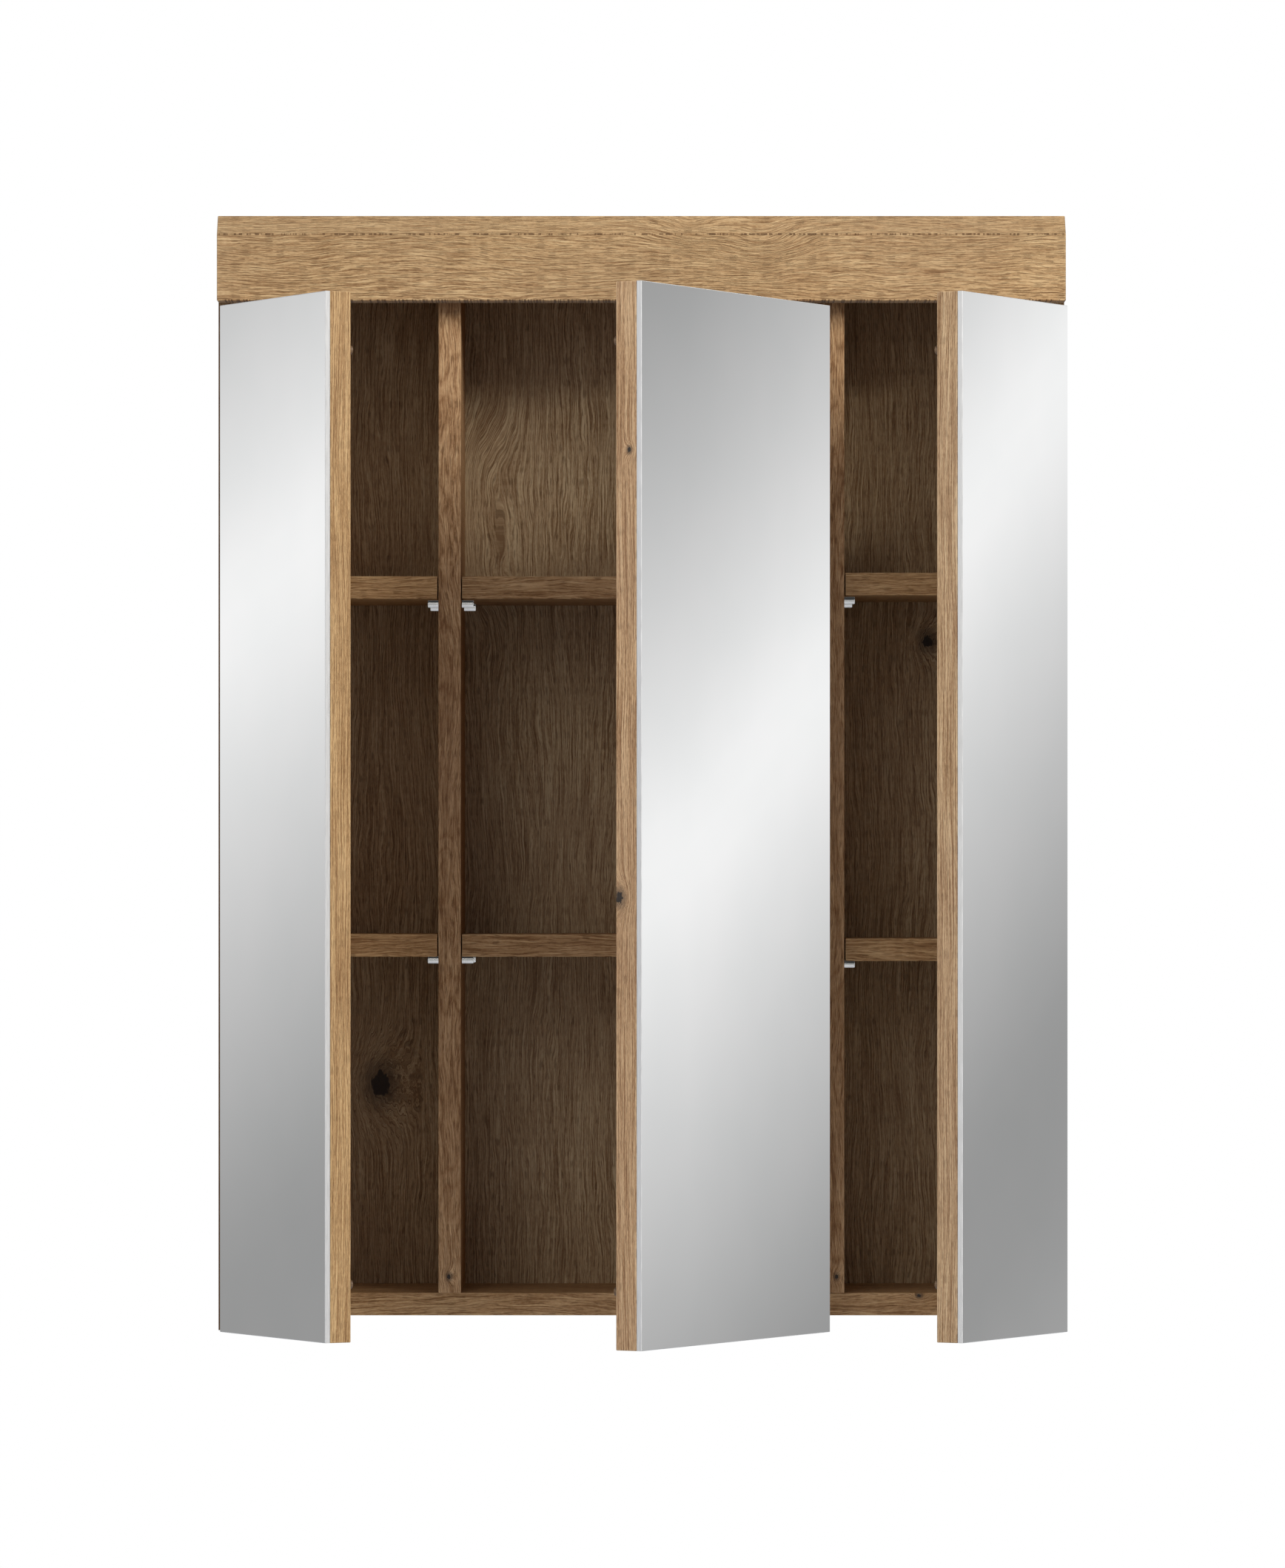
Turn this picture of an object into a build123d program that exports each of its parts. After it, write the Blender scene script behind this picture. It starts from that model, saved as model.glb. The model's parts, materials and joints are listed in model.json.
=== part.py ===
from build123d import *

import math
import os

# Wall-hung bathroom cabinet with three mirrored doors, stored with the doors standing open.
# Millimetres. X runs to the right, Y towards the wall and Z up.
# The origin is midway between the two wall-hook slots, in the plane of the wall.

# Overall size and boards
width = 600.0
height = 790.0
carcass_depth = 148.0
board = 16.0
hang_height = 745.0
foot = -hang_height
edge_radius = 0.6

# Crown board over the doors
crown_height = 61.0
crown_thickness = 22.0
crown_chamfer = 14.0

# Back panel, set in from the wall to leave room for the wall hooks
back_thickness = 3.0
back_setback = 9.0
back_groove = 5.0
back_lap = 1.5

# Inside layout, with the undersides of the shelves measured from the foot
divider_centre = 136.0
bottom_rise = 10.5
shelf_side_gap = 0.8
shelf_back_gap = 1.0
shelf_levels = {
    "left": {"lower": 265.0, "upper": 519.0},
    "middle": {"lower": 265.0, "upper": 519.0},
    "right": {"lower": 262.0, "upper": 521.5},
}

# Doors: board, glue strips and mirror
door_height = 725.5
door_gap = 2.0
glue_thickness = 0.3
glue_width = 30.0
glue_inset = 10.0
glue_spacing = 80.0
glass_thickness = 3.7
glass_chamfer = 0.4
bumper_radius = 3.0
bumper_inset = 3.3
bumper_height = 40.0
bumper_play = 0.1
open_angle = 60.3

# Each door by the closed place of its hinge edge, its width, the hinge side, the clear distance from that
# edge to the board that carries the hinge, and the hinge axis measured from the front hinge corner
doors = {
    "left": {"edge": -299.0, "width": 161.5, "side": "left", "overlay": 15.0, "axis": (0.55, -0.95)},
    "middle": {"edge": 134.5, "width": 269.0, "side": "right", "overlay": 6.5, "axis": (0.55, -0.95)},
    "right": {"edge": 299.0, "width": 161.5, "side": "right", "overlay": 15.0, "axis": (-1.15, 2.0)},
}

# Screws and nails, each by its length, shank radius, head radius and head height
cup_screw_size = (13.0, 1.8, 3.4, 0.7)
plate_screw_size = (12.0, 1.9, 3.5, 1.4)
fixing_screw_size = (9.0, 2.0, 3.8, 1.8)
adjusting_screw_size = (5.0, 2.0, 2.9, 1.0)
hanger_screw_size = (18.0, 1.8, 3.2, 1.2)
divider_screw_size = (45.0, 2.4, 4.5, 2.5)
nail_size = (16.0, 0.8, 1.9, 0.6)
recess_share = 0.45
recess_depth_share = 0.6
drill_play = 0.05

# Concealed hinges, two to a door. Plan coordinates run from the door's front hinge corner:
# x along the door and y from the mirror's face towards the wall
hinge_inset = 100.0
hinge_levels = (hinge_inset, door_height - hinge_inset)
pin_radius = 1.5
pin_play = 0.06

# Cup, let into the door
cup_pivot = (23.0, 13.0)
cup_centre = 22.5
cup_radius = 17.4
cup_depth = 11.0
cup_pocket_radius = 15.6
cup_pocket_half = 9.5
cup_pocket_length = 60.0
cup_floor = 0.8
cup_pin_half = 13.0
cup_recess_play = 0.1
cup_recess_extra = 0.3
cup_screw_offset = 9.5
cup_screw_half_span = 22.5
flange_thickness = 1.2
flange_radius = 20.0
ear_radius = 4.5

# Crank and coupler, the two links between arm and cup
crank_half = 2.5
crank_end_radius = 3.8
crank_bar_half = 2.4
coupler_inner = 2.8
coupler_outer = 4.8
coupler_cup_radius = 2.6
coupler_crank_radius = 3.6
coupler_bar_half = 2.0
coupler_web_low = 0.6
coupler_web_start = 16.0
coupler_web_end = 27.0
elbow_pin_proud = 0.2

# Arm, with its nose at the crank's pivot
arm_pivot = (23.0, 20.0)
arm_nose_radius = 4.0
arm_length = 56.0
arm_start = 32.0
arm_rise = 3.0
arm_top = 14.0
arm_web = 1.5
arm_web_setback = 4.0
cheek_inner = 5.5
cheek_outer = 6.9
rivet_radius = 2.1
rivet_height = 0.5

# Mounting plate, measured along the carcass from its line of screws
plate_line = 37.0
plate_thickness = 2.0
plate_screw_half_span = 16.0
plate_foot_front = 14.0
plate_foot_rear = 26.0
plate_foot_half = 8.5
wing_half_width = 7.0
wing_half_span = 24.0
wing_corner = 5.0
rib_front = 12.0
rib_rear = 24.0
rib_half = 4.6
rib_play = 0.1
fixing_screw_setback = 16.0

# Shelf pins
shelf_pin_radius = 2.5
shelf_pin_in = 7.0
shelf_pin_out = 8.3
shelf_pin_front = 34.0
shelf_pin_rear = 104.0
shelf_pin_chamfer = 0.4

# Dowels
dowel_radius = 3.0
dowel_length = 28.0
dowel_in_cross_panel = 18.0
dowel_in_thickness = 10.0
crown_dowel_length = 25.0
crown_dowel_places = (60.0, 210.0)
crown_end_dowel_rise = 14.0

# Cam locks and their bolts
fitting_rows = (-118.0, -42.0)
dowel_row = -80.0
cam_radius = 7.4
cam_height = 12.4
cam_setback = 34.0
cam_slot_half_length = 5.0
cam_slot_half_width = 0.8
cam_slot_depth = 1.5
bolt_way_radius = 3.7
bolt_way_start = 4.0
bolt_head_radius = 3.3
bolt_head_half = 2.0
bolt_neck_radius = 2.4
bolt_neck_end = 6.0
bolt_shaft_radius = 3.2
bolt_thread_radius = 2.6
bolt_thread_length = 10.0

# Nails through the back
nail_columns = (-256.0, -200.0, -68.0, 0.0, 68.0, 200.0, 256.0)
nail_rows = (130.0, 390.0, 650.0)

# Wall hangers
hanger_spacing = 544.0
hanger_half_height = 20.0
hanger_thickness = 2.0
hanger_skin = 3.0
hanger_reach = 28.0
hanger_corner = 4.0
hanger_screw_inset = 3.5
hanger_screw_rise = 13.0
hook_slot_length = 12.0
hook_slot_width = 6.0

# Levels and planes worked out from the above
top = foot + height
crown_bottom = top - crown_height
front = -carcass_depth
back_face = -back_setback - back_thickness
side_inner = width / 2 - board
bottom_level = foot + bottom_rise
floor_top = bottom_level + board
ceiling = top - board
door_thickness = board + glue_thickness + glass_thickness
door_back = door_gap + door_thickness
door_front = front - door_back


def block(x0, x1, y0, y1, z0, z1):
    """A box between two corners."""
    size = (x1 - x0, y1 - y0, z1 - z0)
    middle = ((x0 + x1) / 2, (y0 + y1) / 2, (z0 + z1) / 2)
    return Pos(*middle) * Box(*size)


def rod(start, direction, radius, length):
    """A cylinder that starts at a point and runs along a direction."""
    plane = Plane(origin=start, z_dir=direction)
    return plane * Cylinder(radius, length, align=(Align.CENTER, Align.CENTER, Align.MIN))


def rounded(shape, axis=None):
    """A board with softened arrises: all of them, or those of its lowest face along an axis."""
    edges = shape.edges() if axis is None else shape.faces().sort_by(axis)[0].edges()
    return fillet(edges, edge_radius)


def screw(start, direction, size, play=0.0):
    """A screw whose head stands on the start point and whose shank runs along the direction."""
    length, radius, head_radius, head_height = size
    head_base = tuple(place - along * head_height for place, along in zip(start, direction))
    head = rod(head_base, direction, head_radius + play, head_height)
    shank = rod(start, direction, radius + play, length)
    if play:
        return head + shank
    recess = rod(head_base, direction, head_radius * recess_share, head_height * recess_depth_share)
    return head + shank - recess


def group(shapes):
    """Several separate solids as one shape."""
    solids = [solid for shape in shapes for solid in shape.solids()]
    return Compound(children=solids)


def cut(shape, tools):
    """A board with all its holes drilled."""
    for tool in tools:
        shape = shape - tool
    return shape


# Boards of the carcass
def side_panel(sign):
    """One outer side, with the groove for the back and the pocket for its hanger plate."""
    inner, outer = sign * side_inner, sign * width / 2
    panel = block(*sorted((inner, outer)), front, 0.0, foot, top)
    panel = rounded(panel, Axis.Y)
    groove = block(*sorted((inner, inner + sign * back_groove)), back_face, -back_setback, foot, top)
    reach = inner + sign * (board - hanger_skin)
    pocket = block(*sorted((inner, reach)), -hanger_thickness, 0.0, -hanger_half_height, hanger_half_height)
    return panel - groove - pocket


def divider(sign):
    """One upright between two compartments."""
    centre = sign * divider_centre
    half = board / 2
    return rounded(block(centre - half, centre + half, front, back_face, floor_top, ceiling), Axis.Y)


def cross_panel(z0):
    """The bottom or the top board, which fits between the sides."""
    return rounded(block(-side_inner, side_inner, front, back_face, z0, z0 + board), Axis.Y)


def back_panel():
    """The thin back, held in the grooves of the sides."""
    half = side_inner + back_groove
    return block(-half, half, back_face, -back_setback, bottom_level + back_lap, top - back_lap)


def crown():
    """The thick board over the doors, with its long top edge bevelled."""
    board_front = front - crown_thickness
    shape = block(-width / 2, width / 2, board_front, front, crown_bottom, top)
    bevel_edge = shape.faces().sort_by(Axis.Y)[0].edges().sort_by(Axis.Z)[-1]
    shape = chamfer(bevel_edge, crown_chamfer)
    return fillet(shape.edges(), edge_radius)


compartments = {
    "left": (-side_inner, -divider_centre - board / 2),
    "middle": (-divider_centre + board / 2, divider_centre - board / 2),
    "right": (divider_centre + board / 2, side_inner),
}


def shelf(x0, x1, level):
    """A loose shelf that lies on four pins."""
    z0 = foot + level
    span = (x0 + shelf_side_gap, x1 - shelf_side_gap)
    return rounded(block(*span, front, back_face - shelf_back_gap, z0, z0 + board))


def shelf_pins(x0, x1, level, play=0.0):
    """The four pins under one shelf."""
    z = foot + level - shelf_pin_radius
    pins = []
    for wall, inward in ((x0, 1), (x1, -1)):
        for setback in (shelf_pin_front, shelf_pin_rear):
            start = (wall - inward * shelf_pin_in, front + setback, z)
            pin = rod(start, (inward, 0, 0), shelf_pin_radius + play, shelf_pin_in + shelf_pin_out)
            if not play:
                pin = chamfer(pin.edges().filter_by(GeomType.CIRCLE), shelf_pin_chamfer)
            pins.append(pin)
    return pins


# Fittings that join the boards
def cam_joint(sign, y, z0, play=0.0):
    """A cam in the underside of a cross panel and the bolt that it grips in the side."""
    x = sign * (side_inner - cam_setback)
    axis_z = z0 + board / 2
    outward = (sign, 0, 0)

    def length_along(begin, end, radius):
        return rod((x + sign * begin, y, axis_z), outward, radius, end - begin)

    cam = rod((x, y, z0), (0, 0, 1), cam_radius + play, cam_height + play)
    way = length_along(-bolt_way_start, cam_setback, bolt_way_radius)
    thread = length_along(cam_setback, cam_setback + bolt_thread_length + play, bolt_thread_radius + play)
    if play:
        return cam + way + thread
    long, short = cam_slot_half_length, cam_slot_half_width
    slots = block(x - long, x + long, y - short, y + short, z0, z0 + cam_slot_depth)
    slots += block(x - short, x + short, y - long, y + long, z0, z0 + cam_slot_depth)
    bolt = length_along(-bolt_head_half, bolt_head_half, bolt_head_radius)
    bolt += length_along(bolt_head_half, bolt_neck_end, bolt_neck_radius)
    bolt += length_along(bolt_neck_end, cam_setback, bolt_shaft_radius)
    return cam - way - slots, bolt + thread


def divider_screw(sign, y, at_top, play=0.0):
    """A long screw through a cross panel into the end of a divider, its head sunk flush."""
    sunk = divider_screw_size[-1]
    x = sign * divider_centre
    if at_top:
        return screw((x, y, top - sunk), (0, 0, -1), divider_screw_size, play)
    return screw((x, y, bottom_level + sunk), (0, 0, 1), divider_screw_size, play)


def dowels(play=0.0):
    """Wooden dowels at the ends of the dividers and cross panels, and behind the crown."""
    radius = dowel_radius + play
    length = dowel_length + 2 * play
    crown_length = crown_dowel_length + 2 * play
    crown_start = front - dowel_in_thickness - play
    pegs = []
    for sign in (-1, 1):
        for z0 in (bottom_level, ceiling):
            start = (sign * (side_inner - dowel_in_cross_panel - play), dowel_row, z0 + board / 2)
            pegs.append(rod(start, (sign, 0, 0), radius, length))
        x = sign * divider_centre
        in_divider = dowel_length - dowel_in_thickness
        for z in (floor_top - dowel_in_thickness, ceiling - in_divider):
            pegs.append(rod((x, dowel_row, z - play), (0, 0, 1), radius, length))
        crown_places = [(place, top - board / 2) for place in crown_dowel_places]
        crown_places.append(((width - board) / 2, crown_bottom + crown_end_dowel_rise))
        for place, z in crown_places:
            pegs.append(rod((sign * place, crown_start, z), (0, 1, 0), radius, crown_length))
    return pegs


def back_nails(play=0.0):
    """Small nails through the back into the rear edges of the boards."""
    places = [(x, z) for z in (bottom_level + board / 2, top - board / 2) for x in nail_columns]
    places += [(sign * divider_centre, foot + level) for sign in (-1, 1) for level in nail_rows]
    head_plane = -back_setback - nail_size[-1]
    return [screw((x, head_plane, z), (0, -1, 0), nail_size, play) for x, z in places]


# Wall hangers
def hanger(sign):
    """A steel plate let into the rear edge of a side, with a level slot for a wall hook."""
    inner = sign * (side_inner - hanger_reach)
    outer = sign * (side_inner + board - hanger_skin)
    plate = block(*sorted((inner, outer)), -hanger_thickness, 0.0, -hanger_half_height, hanger_half_height)
    free_corners = plate.edges().filter_by(Axis.Y).sort_by(Axis.X, reverse=sign > 0)[2:]
    plate = fillet(free_corners, hanger_corner)
    slot = Plane.XZ * SlotOverall(hook_slot_length, hook_slot_width)
    slot = Pos(sign * hanger_spacing / 2, 0, 0) * extrude(slot, hanger_thickness, both=True)
    return cut(plate, [slot] + hanger_screws(sign, drill_play))


def hanger_screws(sign, play=0.0):
    """The two screws that hold a hanger plate to the side, their heads sunk into the plate."""
    x = sign * (side_inner + back_groove + hanger_screw_inset)
    sunk = hanger_screw_size[-1]
    levels = (-hanger_screw_rise, hanger_screw_rise)
    return [screw((x, -sunk, z), (0, -1, 0), hanger_screw_size, play) for z in levels]


# Hinges, in plan coordinates from the front hinge corner of a left-hinged door
def seen_from_above(sketch, z0, z1):
    """A plan outline raised between two levels."""
    return Pos(0, 0, z0) * extrude(sketch, z1 - z0, dir=(0, 0, 1))


def disc(centre, radius):
    """A round outline in plan."""
    return Pos(*centre) * Circle(radius)


def bar(start, end, low, high):
    """A straight outline in plan from one point to another, between two offsets from their line."""
    length = math.dist(start, end)
    angle = math.degrees(math.atan2(end[1] - start[1], end[0] - start[0]))
    outline = Pos(length / 2, (low + high) / 2) * Rectangle(length, high - low)
    return Pos(*start) * (Rot(0, 0, angle) * outline)


def between(start, end, distance):
    """The plan point at a distance from the start of a line towards its end."""
    share = distance / math.dist(start, end)
    return (start[0] + (end[0] - start[0]) * share, start[1] + (end[1] - start[1]) * share)


def swung(point, degrees):
    """A plan vector turned about the vertical."""
    angle = math.radians(degrees)
    return (
        point[0] * math.cos(angle) - point[1] * math.sin(angle),
        point[0] * math.sin(angle) + point[1] * math.cos(angle),
    )


def elbow(axis):
    """The closed place of the pin between crank and coupler: the fourth corner of the parallelogram."""
    return (arm_pivot[0] + cup_pivot[0] - axis[0], arm_pivot[1] + cup_pivot[1] - axis[1])


def hinge_cup():
    """The die-cast cup let into the door, with its flange and the pocket that the links fold into."""
    inward = (0, -1, 0)
    pocket_top = door_thickness + flange_thickness
    body = rod((cup_centre, door_thickness, 0), inward, cup_radius, cup_depth)
    rim = disc((cup_centre, 0), flange_radius)
    ear_x = cup_centre + cup_screw_offset
    ears = [disc((ear_x, side * cup_screw_half_span), ear_radius) for side in (-1, 1)]
    outline = make_hull(rim.edges() + ears[0].edges() + ears[1].edges())
    door_face = Plane(origin=(0, door_thickness, 0), x_dir=(1, 0, 0), z_dir=inward)
    flange = door_face * extrude(outline, -flange_thickness)
    pocket_depth = cup_depth + flange_thickness - cup_floor
    pocket = rod((cup_centre, pocket_top, 0), inward, cup_pocket_radius, pocket_depth)
    pocket &= block(0, cup_pocket_length, 0, cup_pocket_length, -cup_pocket_half, cup_pocket_half)
    return cut(body + flange - pocket, [cup_pin(drill_play)] + cup_screws(drill_play))


def cup_pin(play=0.0):
    """The pin across the cup."""
    return rod((*cup_pivot, -cup_pin_half), (0, 0, 1), pin_radius + play, 2 * cup_pin_half)


def cup_screws(play=0.0):
    """The two screws through the cup's flange."""
    x = cup_centre + cup_screw_offset
    y = door_thickness + flange_thickness
    levels = (-cup_screw_half_span, cup_screw_half_span)
    return [screw((x, y, z), (0, -1, 0), cup_screw_size, play) for z in levels]


def cup_recess():
    """The bored recess in the door for a cup."""
    start = (cup_centre, door_thickness, 0)
    return rod(start, (0, -1, 0), cup_radius + cup_recess_play, cup_depth + cup_recess_extra)


def hinge_crank(axis):
    """The centre link, from the arm's pivot to the elbow."""
    tip = elbow(axis)
    outline = disc(arm_pivot, crank_end_radius) + disc(tip, crank_end_radius)
    outline += bar(arm_pivot, tip, -crank_bar_half, crank_bar_half)
    outline -= disc(arm_pivot, pin_radius + pin_play)
    outline -= disc(tip, pin_radius)
    return seen_from_above(outline, -crank_half, crank_half)


def elbow_pin(axis):
    """The pin held in the crank, on which the coupler turns."""
    half = coupler_outer + elbow_pin_proud
    return rod((*elbow(axis), -half), (0, 0, 1), pin_radius, 2 * half)


def hinge_coupler(axis):
    """The outer link: two plates joined by a narrow web, from the elbow to the cup's pin."""
    tip = elbow(axis)
    outline = disc(tip, coupler_crank_radius) + disc(cup_pivot, coupler_cup_radius)
    outline += bar(tip, cup_pivot, -coupler_bar_half, coupler_bar_half)
    outline -= disc(tip, pin_radius + pin_play)
    outline -= disc(cup_pivot, pin_radius + pin_play)
    web_start = between(tip, cup_pivot, coupler_web_start)
    web_end = between(tip, cup_pivot, coupler_web_end)
    web = bar(web_start, web_end, coupler_web_low, coupler_bar_half)
    link = seen_from_above(outline, coupler_inner, coupler_outer)
    link += seen_from_above(outline, -coupler_outer, -coupler_inner)
    return link + seen_from_above(web, -coupler_outer, coupler_outer)


def hinge_arm(overlay):
    """The channel-shaped arm that carries the links, clipped over its mounting plate."""
    x0, x1 = overlay + arm_rise, overlay + arm_top
    y1 = arm_start + arm_length
    root = Pos((x0 + x1) / 2, (arm_start + y1) / 2) * Rectangle(x1 - x0, arm_length)
    nose = disc(arm_pivot, arm_nose_radius)
    cheek = make_hull(nose.edges() + root.edges())
    cheek -= disc(arm_pivot, pin_radius)
    arm = seen_from_above(cheek, cheek_inner, cheek_outer)
    arm += seen_from_above(cheek, -cheek_outer, -cheek_inner)
    arm += block(x1 - arm_web, x1, arm_start + arm_web_setback, y1, -cheek_outer, cheek_outer)
    return cut(arm, arm_screws(overlay, drill_play))


def arm_pin():
    """The pin through the arm's nose, with a peened head at each end."""
    up, down = (0, 0, 1), (0, 0, -1)
    pin = rod((*arm_pivot, -cheek_outer), up, pin_radius, 2 * cheek_outer)
    pin += rod((*arm_pivot, cheek_outer), up, rivet_radius, rivet_height)
    return pin + rod((*arm_pivot, -cheek_outer), down, rivet_radius, rivet_height)


def arm_screws(overlay, play=0.0):
    """The fixing screw and the adjusting screw on the arm's back."""
    x = overlay + arm_top
    line = door_back + plate_line
    towards_board = (-1, 0, 0)
    fixing = screw((x, line + fixing_screw_setback, 0), towards_board, fixing_screw_size, play)
    adjusting = screw((x, line, 0), towards_board, adjusting_screw_size, play)
    return [fixing, adjusting]


def mounting_plate(overlay):
    """The cross-shaped plate screwed to the carcass, with the rib that carries the arm."""
    line = door_back + plate_line
    x0, x1 = overlay, overlay + plate_thickness
    rib_x1 = overlay + arm_top - arm_web - rib_play
    plate = block(x0, x1, line - plate_foot_front, line + plate_foot_rear, -plate_foot_half, plate_foot_half)
    wings = block(x0, x1, line - wing_half_width, line + wing_half_width, -wing_half_span, wing_half_span)
    plate += fillet(wings.edges().filter_by(Axis.X), wing_corner)
    plate += block(x1, rib_x1, line - rib_front, line + rib_rear, -rib_half, rib_half)
    return cut(plate, plate_screws(overlay, drill_play) + arm_screws(overlay, drill_play))


def plate_screws(overlay, play=0.0):
    """The two screws that hold a mounting plate to its board."""
    x, y = overlay + plate_thickness, door_back + plate_line
    levels = (-plate_screw_half_span, plate_screw_half_span)
    return [screw((x, y, z), (-1, 0, 0), plate_screw_size, play) for z in levels]


# Doors, in the same plan coordinates, with z measured from the foot of the cabinet
def door_board(door_width):
    """The wooden door with its two cup recesses and the screw holes beside them."""
    shape = block(0, door_width, door_thickness - board, door_thickness, 0, door_height)
    shape = rounded(shape)
    tools = [cup_recess(), cup_pin(drill_play)] + cup_screws(drill_play)
    return cut(shape, [Pos(0, 0, z) * tool for z in hinge_levels for tool in tools])


def mirror_pane(door_width):
    """The mirror that covers the whole front of a door, its front arrises ground."""
    pane = block(0, door_width, 0, glass_thickness, 0, door_height)
    return chamfer(pane.faces().sort_by(Axis.Y)[0].edges(), glass_chamfer)


def glue_strips(door_width):
    """Upright strips of mirror adhesive between the glass and the board."""
    y0, y1 = glass_thickness, glass_thickness + glue_thickness
    gaps = round(door_width / glue_spacing) - 1
    first = glue_inset
    last = door_width - glue_inset - glue_width
    starts = [first + (last - first) * i / gaps for i in range(gaps + 1)]
    return [block(x, x + glue_width, y0, y1, glue_inset, door_height - glue_inset) for x in starts]


def bumpers(door_width):
    """Soft dots on the back of the door that meet the upright when it closes."""
    x = door_width - bumper_inset
    thickness = door_gap - bumper_play
    levels = (bumper_height, door_height - bumper_height)
    return [rod((x, door_thickness, z), (0, 1, 0), bumper_radius, thickness) for z in levels]


def placed(shape, door, motion="fixed"):
    """Carries a shape from the plan coordinates of a hinge to the cabinet, at the stored opening.

    A piece marked door turns about the hinge axis, crank turns about the arm's pivot, coupler moves
    without turning, and fixed stays with the carcass.
    """
    axis = door["axis"]
    if motion == "door":
        shape = shape.rotate(Axis((*axis, 0), (0, 0, 1)), -open_angle)
    elif motion == "crank":
        shape = shape.rotate(Axis((*arm_pivot, 0), (0, 0, 1)), -open_angle)
    elif motion == "coupler":
        closed = (cup_pivot[0] - axis[0], cup_pivot[1] - axis[1])
        opened = swung(closed, -open_angle)
        shape = Pos(opened[0] - closed[0], opened[1] - closed[1], 0) * shape
    if door["side"] == "right":
        shape = mirror(shape, about=Plane.YZ)
    return Pos(door["edge"], door_front, foot) * shape


def at_hinges(shapes, door, motion="fixed"):
    """The same pieces at both hinges of a door."""
    return [placed(Pos(0, 0, z) * shape, door, motion) for z in hinge_levels for shape in shapes]


def near(board_shape, tools):
    """The drilling tools that reach a board."""
    box = board_shape.bounding_box()
    low, high = tuple(box.min), tuple(box.max)
    reaching = []
    for tool in tools:
        tool_box = tool.bounding_box()
        above = all(a <= b for a, b in zip(low, tuple(tool_box.max)))
        below = all(a <= b for a, b in zip(tuple(tool_box.min), high))
        if above and below:
            reaching.append(tool)
    return reaching


def drilled(board_shape, tools):
    """A board cut by every tool that reaches it."""
    return cut(board_shape, near(board_shape, tools))


# Places of the fittings, and the holes that they need
shelf_places = [(bay, level) for bay, levels in shelf_levels.items() for level in levels.values()]
cam_places = [(sign, y, z0) for sign in (-1, 1) for y in fitting_rows for z0 in (bottom_level, ceiling)]
divider_places = [(sign, y, at_top) for sign in (-1, 1) for y in fitting_rows for at_top in (False, True)]

pins = [pin for bay, level in shelf_places for pin in shelf_pins(*compartments[bay], level)]
pin_holes = [
    hole for bay, level in shelf_places for hole in shelf_pins(*compartments[bay], level, drill_play)
]
nail_holes = back_nails(drill_play)
dowel_holes = dowels(drill_play)
joinery = [cam_joint(*place, drill_play) for place in cam_places] + dowel_holes
joinery += [divider_screw(*place, drill_play) for place in divider_places]
plate_holes = [
    hole for door in doors.values() for hole in at_hinges(plate_screws(door["overlay"], drill_play), door)
]

# Carcass and fittings
nodes = {}
for name, sign in {"left": -1, "right": 1}.items():
    side_holes = joinery + pin_holes + plate_holes + hanger_screws(sign, drill_play)
    divider_holes = joinery + pin_holes + plate_holes + nail_holes
    nodes[f"{name}_side_panel"] = drilled(side_panel(sign), side_holes)
    nodes[f"{name}_divider"] = drilled(divider(sign), divider_holes)
    nodes[f"{name}_wall_hanger"] = hanger(sign)
nodes["bottom_panel"] = drilled(cross_panel(bottom_level), joinery + nail_holes)
nodes["top_panel"] = drilled(cross_panel(ceiling), joinery + nail_holes)
nodes["back_panel"] = drilled(back_panel(), nail_holes)
nodes["crown_board"] = drilled(crown(), dowel_holes)
for bay, levels in shelf_levels.items():
    for row, level in levels.items():
        nodes[f"{bay}_{row}_shelf"] = shelf(*compartments[bay], level)
cams, bolts = zip(*(cam_joint(*place) for place in cam_places))
nodes["shelf_pins"] = group(pins)
nodes["cam_locks"] = group(cams)
nodes["cam_bolts"] = group(bolts)
nodes["divider_screws"] = group([divider_screw(*place) for place in divider_places])
nodes["wooden_dowels"] = group(dowels())
nodes["back_panel_nails"] = group(back_nails())
nodes["hanger_screws"] = group(hanger_screws(-1) + hanger_screws(1))

# Doors and hinges
plates, plate_fixings, arm_fixings, arm_pins = [], [], [], []
for name, door in doors.items():
    overlay, axis, door_width = door["overlay"], door["axis"], door["width"]
    plates += at_hinges([mounting_plate(overlay)], door)
    plate_fixings += at_hinges(plate_screws(overlay), door)
    arm_fixings += at_hinges(arm_screws(overlay), door)
    arm_pins += at_hinges([arm_pin()], door)
    nodes[f"{name}_hinge_arms"] = group(at_hinges([hinge_arm(overlay)], door))
    nodes[f"{name}_hinge_cranks"] = group(at_hinges([hinge_crank(axis)], door, "crank"))
    nodes[f"{name}_elbow_pins"] = group(at_hinges([elbow_pin(axis)], door, "crank"))
    nodes[f"{name}_hinge_couplers"] = group(at_hinges([hinge_coupler(axis)], door, "coupler"))
    nodes[f"{name}_hinge_cups"] = group(at_hinges([hinge_cup()], door, "door"))
    nodes[f"{name}_cup_pins"] = group(at_hinges([cup_pin()], door, "door"))
    nodes[f"{name}_cup_screws"] = group(at_hinges(cup_screws(), door, "door"))
    nodes[f"{name}_door_board"] = placed(door_board(door_width), door, "door")
    nodes[f"{name}_mirror"] = placed(mirror_pane(door_width), door, "door")
    nodes[f"{name}_mirror_glue"] = group([placed(strip, door, "door") for strip in glue_strips(door_width)])
    nodes[f"{name}_door_bumpers"] = group([placed(dot, door, "door") for dot in bumpers(door_width)])
nodes["hinge_mounting_plates"] = group(plates)
nodes["plate_screws"] = group(plate_fixings)
nodes["arm_screws"] = group(arm_fixings)
nodes["arm_pins"] = group(arm_pins)

os.makedirs("parts", exist_ok=True)
for name, shape in nodes.items():
    export_step(shape, f"parts/{name}.step")
print(len(nodes), "nodes")
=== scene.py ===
import json
import math

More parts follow.
